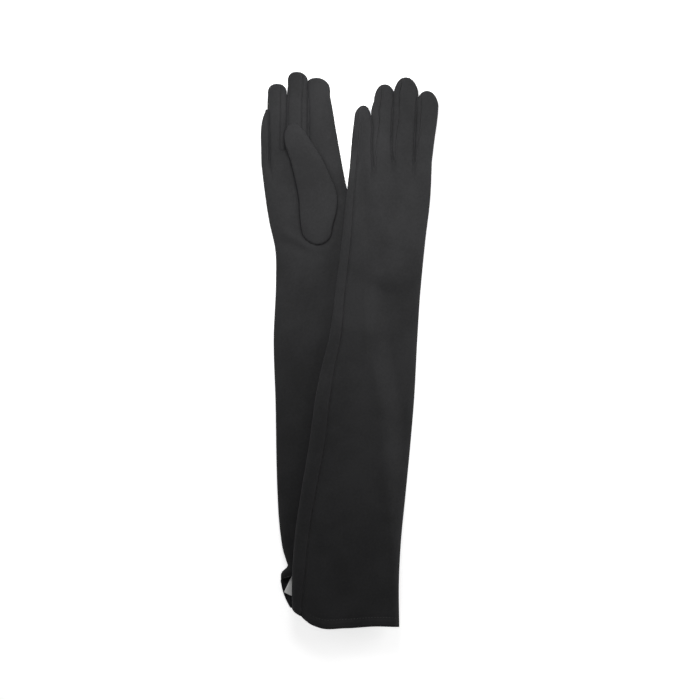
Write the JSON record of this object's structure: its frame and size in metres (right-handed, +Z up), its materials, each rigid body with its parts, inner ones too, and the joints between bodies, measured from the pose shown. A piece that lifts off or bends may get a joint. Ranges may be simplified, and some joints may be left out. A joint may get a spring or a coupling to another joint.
{
  "type": "opera gloves",
  "caption": "Pair of long black opera gloves laid flat, one palm up and one back up, with folded thumbs and fourchettes between the fingers.",
  "frame": {"origin": "middle of the pair's outline on the table, at table height", "axes": "+Y to the fingertips, +X to the index finger side of both gloves, +Z up"},
  "size_m": [0.1788, 0.5561, 0.0168],
  "materials": {
    "fabric": "matte black stretch fabric with a very short brushed nap",
    "thread": "black sewing thread",
    "label": "white woven satin, blank"
  },
  "bodies": {
    "right_glove": {"right_trank": "fabric", "right_fourchette_little_ring": "fabric", "right_fourchette_ring_middle": "fabric", "right_fourchette_middle_index": "fabric", "right_fourchette_thread_little_ring": "thread", "right_fourchette_thread_ring_middle": "thread", "right_fourchette_thread_middle_index": "thread", "right_side_seam_thread": "thread", "right_hem_thread": "thread", "right_thumb_seam_thread": "thread", "right_care_label": "label"},
    "right_thumb_body": {"right_thumb": "fabric"},
    "left_glove": {"left_trank": "fabric", "left_fourchette_little_ring": "fabric", "left_fourchette_ring_middle": "fabric", "left_fourchette_middle_index": "fabric", "left_fourchette_thread_little_ring": "thread", "left_fourchette_thread_ring_middle": "thread", "left_fourchette_thread_middle_index": "thread", "left_side_seam_thread": "thread", "left_hem_thread": "thread", "left_thumb_seam_thread": "thread"},
    "left_thumb_body": {"left_thumb": "fabric"}
  },
  "joints": [
    {"name": "left_glove_lift", "type": "slide", "parent": "right_glove", "child": "left_glove", "axis": [0, 0, 1], "range_m": [0, 0.12]},
    {"name": "right_thumb_lift", "type": "hinge", "parent": "right_glove", "child": "right_thumb_body", "pos_m": [-0.0325, 0.1055, 0.0084], "axis": [1, 0, 0], "range_deg": [0, 80]},
    {"name": "left_thumb_swing", "type": "hinge", "parent": "left_glove", "child": "left_thumb_body", "pos_m": [0.0368, 0.1065, 0.0038], "axis": [0, 0, -1], "range_deg": [0, 50]}
  ]
}
